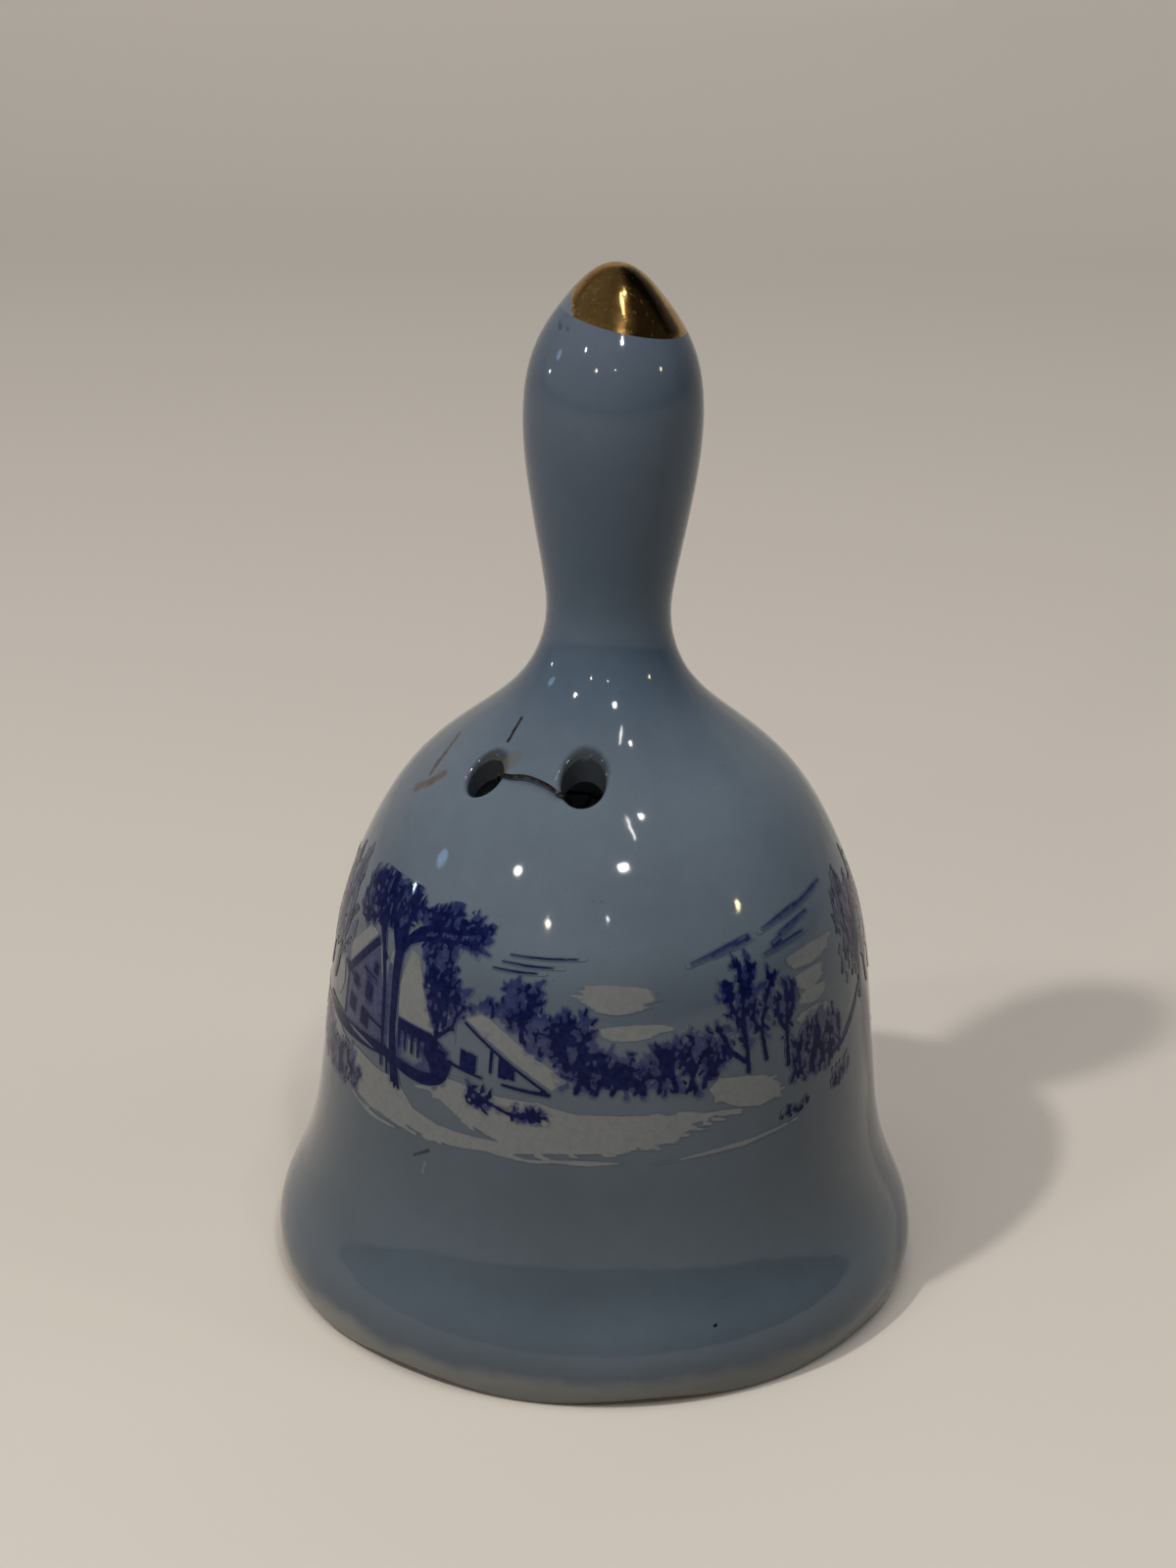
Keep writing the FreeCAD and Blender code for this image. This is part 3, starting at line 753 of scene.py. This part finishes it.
def draw_shed(snow, wash, ink):
    for layer in (wash, ink):
        layer.clear((-31.2, 46.6), (-28.4, 47.6), (-9.4, 40.4), (-18, 39.9), (-31, 41))
    for west, tall in ((-29.2, 2.4), (-27.2, 2.2), (-20.6, 2.1), (-18.8, 1.5)):
        ink.area((west, 41.2), (west + 1.7, 41), (west + 1.7, 41.0 + tall), (west, 41.3 + tall))
    ink.stroke([(-22.2, 44.4), (-22.3, 41.6)], 0.45, 0.35)
    ink.stroke([(-31.6, 41.5), (-28, 41), (-24.2, 40.6)], 0.35, 0.28)
    ink.stroke([(-19.6, 40.3), (-15, 40), (-10, 39.8)], 0.3, 0.5)
    roof(snow, wash, ink, (-28.4, 47.5), (-24.6, 48.6), (-6, 41.7), (-9.4, 40.5))
    ink.stroke([(-28.6, 47), (-19.5, 43.5), (-10.6, 40.2)], 0.32, 0.3)


def draw_back_trees(wash, ink):
    """The trees that stand beside and behind the two buildings."""
    beside = [
        (-42, 53.9), (-38, 54.6), (-33.8, 54.4), (-32.6, 52.8), (-34, 51), (-29.2, 50.6), (-30.4, 48.4),
        (-33.6, 47), (-34, 44.8), (-37, 45.4), (-40, 50),
    ]
    tree_clump(wash, ink, beside, 48, 20)
    for start, lean, length in (
        ((-35.6, 44.4), -8, 2.8), ((-35.2, 44.2), 22, 2.6), ((-38.4, 48.6), 12, 2.2), ((-36, 47), 40, 1.8),
    ):
        tree(wash, ink, start, lean, length, 0.6)
    tree_clump(wash, ink, [(-29, 48.6), (-24, 50.2), (-21, 50), (-20, 48.2), (-24, 48.4)], 18, 0)
    behind_shed = [
        (-21, 52.2), (-18, 53), (-15, 52.8), (-11.6, 49.6), (-9.4, 45.4), (-12, 43.8), (-17, 46.2),
        (-20.6, 48.4),
    ]
    tree_clump(wash, ink, behind_shed, 64, 0)
    tree(wash, ink, (-16, 46.2), -6, 2.6, 0.7)
    east_of_shed = [
        (-10.4, 48.6), (-8, 49.8), (-3.4, 50.4), (-1.2, 49), (-1.2, 46), (-3, 42.6), (-7, 41.6),
        (-10, 44.6),
    ]
    tree_clump(wash, ink, east_of_shed, 60, 12)
    for lean in (-14, 18, 44):
        tree(wash, ink, (-6.6, 43.2), lean, 2.6, 0.7)


def draw_shrubs(wash, ink):
    """The row of bare bushes and young trees on the right."""
    bush = [(-8.4, 40.4), (-6, 43.8), (-2.6, 44.8), (2.4, 44.9), (4.8, 43), (5.4, 40.9), (0.4, 40.3)]
    row = [
        (4.4, 40.6), (7, 44), (13, 45.6), (16, 46.6), (20, 45.9), (23.6, 46), (24.2, 42.6), (23, 40.4),
        (20, 39.4), (10, 39.6),
    ]
    tree_clump(wash, ink, bush, 44, 5)
    tree_clump(wash, ink, row, 84, 5)
    for x, lean, length in (
        (-4.6, -12, 1.8), (-0.6, 4, 1.9), (2.6, 20, 1.6), (8.6, -10, 2), (12, 16, 2.6), (15.6, -6, 2.6),
        (18.4, 26, 2.8), (21.4, 12, 2.2),
    ):
        tree(wash, ink, (x, 40.4), lean, length, 0.62)
    for foot, *bends in (
        ((31.6, 41.2), (31.3, 44.6), (30.2, 47.4), (28.2, 50), (27.6, 52.4)),
        ((31.3, 44.4), (30.9, 48.8), (31.6, 51), (30.8, 54)),
        ((31.6, 50.6), (33.2, 52), (34.2, 53.8)),
        ((31.6, 42.2), (27.6, 44.4), (24.6, 47.6)),
        ((36, 42.2), (35.3, 46.2), (36.8, 49), (39.2, 52.2)),
        ((35.3, 45.8), (33.4, 47.6), (34.2, 49.8)),
        ((41.8, 40.4), (41.8, 45), (42.6, 48), (42.8, 50.4)),
        ((42, 45.8), (44.2, 47.8), (44.8, 50)),
        ((41.9, 44.6), (40, 46.6), (40, 49)),
    ):
        ink.stroke([foot, *bends], 0.62, 0.45, 0.34)
        places = [tuple(p) for p in smooth([foot, *bends], 3)[3:]]
        wash.leaves(places, 4, 0.55, 0.8, 0.55)
        ink.leaves(places, 3, 0.45, 0.6, 0.36)
    for x, y in ((30.8, 54.2), (34.2, 54), (27.8, 51.8), (39.2, 51.8)):
        ink.dabs([(x - 1, y - 1), (x + 1, y - 1), (x + 1, y + 0.6), (x - 1, y + 0.6)], 9, 0.7, 0.5, 0, 15)
    thicket = [
        (42.2, 37), (42.4, 40), (43.6, 42.6), (47, 44.6), (54, 44.6), (59.6, 43.4), (60, 39.8),
        (54.4, 37.4), (47.4, 37.2),
    ]
    wash.dabs(thicket, 120, 1.3, 0.7, 8, 18)
    ink.dabs(thicket, 80, 1.3, 0.4, 8, 18)
    for x in (45, 48.4, 52, 55.6, 58.6):
        ink.limb((x, 38.6), 4, 2.6, 0.5, 1)
    ink.stroke([(55, 38.8), (60, 39.3), (65, 41), (73, 44.6)], 0.6, 0.5, 0.3)


def draw_ground(snow, wash, ink):
    snow.area(
        (-65, 36.2), (-60, 37.2), (-50, 36.4), (-42, 36.5), (-36, 37.6), (-32, 39.3), (-26, 39),
        (-20, 38.6), (-12, 38.6), (-5, 37.6), (11, 37.4), (26.5, 36.8), (18, 35.8), (20, 35.4), (14, 34.3),
        (15.4, 33.9), (7, 33.4), (8, 33.1), (2.4, 32.8), (-9.6, 32.3), (-16, 31.7), (-30, 30.8),
        (-42, 31.3), (-52, 31), (-63, 32.4),
    )
    snow.clear(
        (-45, 36.6), (-36, 37), (-31.6, 35.8), (-27, 34.5), (-19, 32.8), (-26, 32.7), (-33.7, 32.9),
        (-40, 33.8),
    )
    snow.area(
        (22.6, 39.9), (24.8, 41.1), (30.5, 40.7), (35.6, 40), (39, 38.6), (39.4, 37.1), (34, 36.3),
        (28.6, 37.1), (24.4, 38.4),
    )
    snow.dabs(
        [(22.6, 38.6), (26, 40.8), (36, 39.8), (39.6, 37.6), (36, 36.6), (27, 37.6)], 26, 1.4, 0.6, 90, 10,
    )
    for band in (
        [(-60, 36.4), (-50, 36.2), (-48, 35.2), (-56, 35.6)],
        [(-62, 32.6), (-46, 30.8), (-30, 30.7), (-44, 31.6)],
        [(-16, 31.6), (4, 32.6), (14, 33.8), (24, 36.2), (8, 33.6)],
        [(8, 37.6), (22, 37.3), (29, 36.4), (20, 36.2)],
    ):
        snow.dabs(band, 26, 1.8, 0.34, 97, 5)
    snow.dabs([(-36, 36.6), (-30, 35.6), (-20, 33.2), (-26, 33.7)], 12, 1.6, 0.26, 100, 5)
    for widths, *points in (
        ((0.5, 0.12), (-22, 31.5), (-14, 31), (-8, 31.2)),
        ((0.2, 0.5, 0.15), (-60, 31.2), (-52, 30.2), (-44, 30.2)),
        ((0.15, 0.6, 0.15), (-10, 31.3), (-2.7, 31.3), (5, 31.4)),
        ((0.12, 0.2, 0.12), (10.6, 31.1), (15, 31.3)),
        ((0.15, 0.4, 0.5, 0.3, 0.15), (16.5, 31.4), (24, 31.8), (30, 32), (37, 32.4), (44, 32.8)),
        ((0.15, 0.5, 0.15), (-31, 37.6), (-26, 37), (-20, 37)),
        ((0.6, 1.6, 1.2), (-92, 39), (-80, 38.2), (-72, 37.4), (-66, 36.6)),
    ):
        snow.stroke(points, *widths)
    for outline in (
        [(-27, 37), (-22.4, 36.4), (-22, 39.2), (-26.4, 39.4)],
        [(-17.6, 35.9), (-10, 36.1), (-10, 37.7), (-17.4, 37.4)],
    ):
        ink.dabs(outline, 22, 0.9, 0.42, 20, 50)
        wash.dabs(outline, 16, 0.9, 0.5, 20, 50)
    ink.stroke([(-27, 39.2), (-22.6, 37.8), (-17, 36.6), (-10.4, 36.8)], 0.35, 0.4, 0.3)
    ink.dabs([(38.4, 33.2), (46.4, 33.6), (47.4, 34.5), (39.4, 34.2)], 18, 0.8, 0.38, 0, 25)
    for outline in (
        [(55.4, 33.8), (62, 34.6), (63.6, 36.2), (56.6, 35.6)],
        [(64, 46), (70, 46), (75, 52), (74, 57), (66, 57), (63, 50)],
    ):
        wash.dabs(outline, 24, 1.1, 0.6, 10, 15)
        ink.dabs(outline, 16, 1.1, 0.4, 10, 15)
    tree_clump(wash, ink, HEDGE, 190, -5)


def draw_sky(snow, wash, ink):
    for west, east, low, high, slant in (
        (-6.6, 13, 50.4, 53.4, -0.5), (-2, 15.6, 47.2, 48.7, 0.4), (40.5, 63, 51.8, 53.6, 0.2),
        (44, 57, 49, 50.9, 0.2), (44.5, 57.5, 47, 48.5, 0), (43.8, 57, 44.5, 46.1, -0.2),
    ):
        snow.cloud(west, east, low, high, slant)
    for west, east, y, rise in ((-20.4, -3.6, 56.1, 0.4), (-22, -8.2, 55.2, 0.1), (-24, -12, 54.3, 0.2)):
        ink.stroke(
            [(west, y), ((west + east) / 2, y + rise / 2 - 0.1), (east, y + rise)], 0.12, 0.21, 0.21, 0.12,
        )
    for west, east, low, high in (
        (19, 36, 55.3, 57.6), (21.5, 31, 55.6, 56.9), (25, 36, 55.9, 57), (38, 52, 54.7, 55.7),
        (40.5, 54, 55.6, 57.6), (43, 55, 56.4, 57.6), (38, 52, 57.4, 59), (45, 60, 58, 59.3),
        (52, 64, 58.6, 59.7),
    ):
        wash.stroke(
            [(west, low), ((west + east) / 2, (low + high) / 2 + 0.1), (east, high)], 0.1, 0.4, 0.4, 0.1,
        )
        ink.stroke([(west + 1, low + 0.1), (east - 2, high - 0.25)], 0.06, 0.22, 0.22, 0.06)


def draw_sides(snow, wash, ink):
    """The outer left and right, which turn out of sight, and the back: more hedges, trees and drifts."""
    for x, top, wide in ((-78, 58.6, 4), (-85, 57.4, 5), (72, 58.8, 4), (80, 56.4, 5), (87, 58, 4)):
        mass = [
            (x - wide, 47.5), (x - wide * 0.7, top - 2), (x, top), (x + wide * 0.7, top - 2.4),
            (x + wide, 48), (x, 45.6),
        ]
        wash.dabs(mass, 60, 1.8, 0.6, 0, 14)
        ink.dabs(mass, 34, 1.8, 0.34, 0, 14)
        ink.limb((x + 0.6, 42.6), 0, 5.4, 0.8, 2)
    for x, low, high, wide in (
        (-104, 37, 47, 9), (-132, 36.4, 43, 12), (-160, 37, 46.6, 8), (104, 37, 45, 9),
        (126, 36.6, 42.6, 11), (158, 37.4, 47.6, 9),
    ):
        mass = [
            (x - wide, low), (x - wide * 0.8, (low + high) / 2), (x - wide * 0.2, high),
            (x + wide * 0.4, high - 1.4), (x + wide, (low + high) / 2 - 1), (x + wide, low),
        ]
        tree_clump(wash, ink, mass, int(14 * wide), 0)
        for step in (-0.5, 0, 0.45):
            ink.limb((x + step * wide, low + 0.6), step * 30, (high - low) * 0.36, 0.6, 2)
    for west, east, y in (
        (-118, -88, 35.4), (-150, -112, 34.2), (-176, -140, 35.6), (88, 120, 34.4), (112, 150, 35.6),
        (140, 176, 34),
    ):
        for step in range(5):
            shift = 2.4 * step
            west_end = (west + shift, y - 0.55 * step)
            east_end = (east - 1.6 * shift, y - 0.5 * step)
            snow.stroke([west_end, ((west + east) / 2, y + 0.2 - 0.6 * step), east_end], 0.2, 0.95, 0.2)
    for west, east, low, high in (
        (-126, -104, 50.6, 53.4), (-168, -148, 52, 54.6), (100, 122, 51, 54), (140, 158, 53.2, 55.2),
    ):
        snow.cloud(west, east, low, high)
    for west, east, y in (
        (-140, -124, 56.4), (-136, -120, 55.6), (122, 140, 57), (126, 144, 56.2), (-98, -86, 55.4),
    ):
        wash.stroke([(west, y), ((west + east) / 2, y - 0.15), (east, y)], 0.1, 0.42, 0.1)
    for x in range(-156, -122, 5):
        ink.stroke([(x, 37.6), (x + 0.4, 40.4)], 0.5, 0.4)
    for lift in (38.6, 39.7):
        ink.stroke([(-157, lift), (-140, lift - 0.25), (-124, lift + 0.1)], 0.28, 0.22)


def draw_dark_leaves(ink):
    """The darkest leaves, in the great tree and in the hedge at its left."""
    ink.dabs(CROWN, 70, 1.1, 0.36, -20, 35)
    ink.dabs(HEDGE, 80, 1.1, 0.4, -5, 35)


def draw():
    """The whole scene in its three colours: a farm in snow."""
    snow, wash, ink = Layer(3, 0.12), Layer(11, 0.28), Layer(29, 0.16)
    draw_ground(snow, wash, ink)
    draw_back_trees(wash, ink)
    draw_shrubs(wash, ink)
    draw_great_tree(wash, ink)
    draw_sides(snow, wash, ink)
    wash.roughen(0.36, 0.6)
    ink.roughen(0.26, 0.45)
    draw_house(snow, wash, ink)
    draw_shed(snow, wash, ink)
    draw_sky(snow, wash, ink)
    draw_great_trunk(snow, wash, ink)
    draw_dark_leaves(ink)
    snow.roughen(0.2, 0.8)
    return {"snow": snow, "wash": wash, "ink": ink}


# ---- the drawing as thin films -----------------------
KEEP_OFF = 0.025  # millimetres that a simplified outline may stray
LATTICE = 0.8  # millimetres between the points inside a film, and the longest side of its outlines
SUNK = 0.02  # millimetres that a film's underside lies inside the glaze
MERGED = 1e-6  # millimetres between points that are taken as one
OUTSIDE = 80  # millimetres from the axis, clear of the bell
PROFILE_AT = 20.0  # the azimuth in degrees where the side's slope is measured
# Which corners of a cell are inside (lower left 1, lower right 2, upper right 4, upper left 8), and the
# sides that the outline enters and leaves by, with the inside on its left: bottom, right, top or left.
CROSSINGS = {
    1: ["BL"], 2: ["RB"], 3: ["RL"], 4: ["TR"], 5: ["BL", "TR"], 6: ["TB"], 7: ["TL"],
    8: ["LT"], 9: ["BT"], 10: ["RB", "LT"], 11: ["RT"], 12: ["LR"], 13: ["BR"], 14: ["LB"],
}


def outlines(depth):
    """The closed curves where depth is zero, as arrays of places on the flat grid in millimetres."""
    rows, columns = depth.shape
    inside = depth > 0
    case = inside[:-1, :-1] + inside[:-1, 1:] * 2 + inside[1:, 1:] * 4 + inside[1:, :-1] * 8
    level, upright = np.arange(rows * columns).reshape(rows, columns), rows * columns

    def side(name, r, c):
        """The number of a cell's side: level sides come first, then upright ones."""
        return {
            "B": level[r, c],
            "T": level[r + 1, c],
            "L": level[r, c] + upright,
            "R": level[r, c + 1] + upright,
        }[name]

    after = {}
    for number, runs in CROSSINGS.items():
        r, c = np.nonzero(case == number)
        for start, end in runs:
            after.update(zip(side(start, r, c).tolist(), side(end, r, c).tolist()))
    flat_depth = depth.ravel()
    curves = []
    while after:
        first, _ = next(iter(after.items()))
        chain, now = [], first
        while now in after:
            chain.append(now)
            now = after.pop(now)
        ids = np.array(chain)
        is_upright = ids >= upright
        a = ids - upright * is_upright
        b = a + np.where(is_upright, columns, 1)
        share = flat_depth[a] / (flat_depth[a] - flat_depth[b])
        places = np.stack([a % columns, a // columns], 1).astype(float)
        places += np.stack([share * ~is_upright, share * is_upright], 1)
        curves.append(places * CELL)
    return curves


def simplified(curve):
    """The curve with the points left out that lie within KEEP_OFF of its line."""
    keep = np.zeros(len(curve), bool)
    half = len(curve) // 2
    keep[[0, half]] = True
    closed = np.vstack([curve, curve[:1]])
    pending = [(0, half), (half, len(curve))]
    while pending:
        i, j = pending.pop()
        if j - i < 2:
            continue
        run = closed[j] - closed[i]
        offset = closed[i + 1 : j] - closed[i]
        length = np.hypot(*run)
        if length > MERGED:
            gap = np.abs(offset[:, 0] * run[1] - offset[:, 1] * run[0]) / length
        else:
            gap = np.hypot(offset[:, 0], offset[:, 1])
        k = int(gap.argmax())
        too_long = gap[k] <= KEEP_OFF and length > LATTICE
        if too_long:
            k = len(gap) // 2
        if too_long or gap[k] > KEEP_OFF:
            keep[i + 1 + k] = True
            pending += [(i, i + 1 + k), (i + 1 + k, j)]
    return curve[keep]


def sampled(depth, places):
    """The grid's depth at places, between its cells."""
    g = places / CELL
    c, r = np.clip(g.astype(int).T, 0, np.array(depth.shape[::-1])[:, None] - 2)
    s, t = g[:, 0] - c, g[:, 1] - r
    low = depth[r, c] * (1 - s) + depth[r, c + 1] * s
    high = depth[r + 1, c] * (1 - s) + depth[r + 1, c + 1] * s
    return low * (1 - t) + high * t


def triangulated(layer):
    """The film's points and triangles on the flat grid, out to where the layer's colour has faded out."""
    points, edges = [], []
    for level in (-layer.fade, CORE):
        for curve in outlines(layer.depth - level):
            curve = simplified(curve)
            if len(curve) < 4:
                continue
            first = len(points)
            points.extend(curve.tolist())
            edges.extend((first + i, first + (i + 1) % len(curve)) for i in range(len(curve)))
    rows, columns = layer.depth.shape
    step = round(LATTICE / CELL)
    for r in range(0, rows, step):
        for c in range(step // 2 * (r // step % 2), columns, step):
            if layer.depth[r, c] > 0.3 * LATTICE:
                points.append((c * CELL, r * CELL))
    result = delaunay_2d_cdt([Vector(p) for p in points], edges, [], 0, MERGED)
    places = np.array([tuple(v) for v in result[0]])
    triangles = np.array([f for f in result[2] if len(f) == 3])
    middles = places[triangles].mean(1)
    return places, triangles[sampled(layer.depth, middles) > -layer.fade]


class Wall:
    """The outside of the bell, where the drawing is laid on it."""

    def __init__(self):
        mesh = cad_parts["bell_body"].data
        self.tree = BVHTree.FromPolygons([v.co for v in mesh.vertices], [p.vertices for p in mesh.polygons])
        heights = np.linspace(FOOT, HEAD, 60)
        radii = [self.radius(PROFILE_AT, z) for z in heights]
        self.slope = np.polynomial.Polynomial.fit(heights, radii, 6).deriv()

    def radius(self, azimuth, height):
        """How far in millimetres the outside lies from the bell's axis."""
        start = polar(azimuth, OUTSIDE, height)
        centre = Vector((0, 0, start.z))
        hit = self.tree.ray_cast(start, (centre - start).normalized())[0]
        return (hit - centre).length / MM

    def place(self, azimuth, height):
        """The point there, and the smooth surface's direction."""
        facing = polar(azimuth, 1000, -1000 * self.slope(height))
        return polar(azimuth, self.radius(azimuth, height), height), facing.normalized()


def make_film(name, layer, layers, wall, lift, material):
    """A closed film where the layer has colour, following the bell's side lift millimetres proud of it."""
    flat_places, triangles = triangulated(layer)
    used, triangles = np.unique(triangles, return_inverse=True)
    triangles = triangles.reshape(-1, 3)
    flat_places = flat_places[used]
    n = len(used)
    top, under, facings = [], [], []
    for x, y in flat_places:
        point, facing = wall.place(x / SPREAD - 180, y + FOOT)
        top.append(point + facing * lift * MM)
        under.append(point - facing * SUNK * MM)
        facings.append(facing)
    faces = triangles.tolist() + (triangles[:, ::-1] + n).tolist()
    runs = {tuple(run) for t in triangles.tolist() for run in zip(t, t[1:] + t[:1])}
    faces += [(b, a, a + n, b + n) for a, b in sorted(runs) if (b, a) not in runs]
    mesh = bpy.data.meshes.new(name)
    mesh.from_pydata(top + under, [], faces)
    mesh.materials.append(material)
    mesh.shade_smooth()
    mesh.normals_split_custom_set_from_vertices(facings + [-f for f in facings])
    for colour, other in layers.items():
        strength = other.strength(flat_places)
        mesh.attributes.new(colour, "FLOAT", "POINT").data.foreach_set("value", np.tile(strength, 2))
    film = added(name, mesh)
    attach(film, "root")


def make_drawing():
    """The drawing on the bell's side: white lowest, dark cobalt on top."""
    wall = Wall()
    layers = draw()
    for name, lift, finish, slot in (
        ("snow", 0.05, "white_enamel", "snow"),
        ("wash", 0.07, "pale_cobalt_enamel", "cobalt"),
        ("ink", 0.09, "dark_cobalt_enamel", "cobalt"),
    ):
        make_film("print_" + name, layers[name], layers, wall, lift, enamel(finish))


make_camera()
make_floor()
make_light()
dress_cad()
make_drawing()
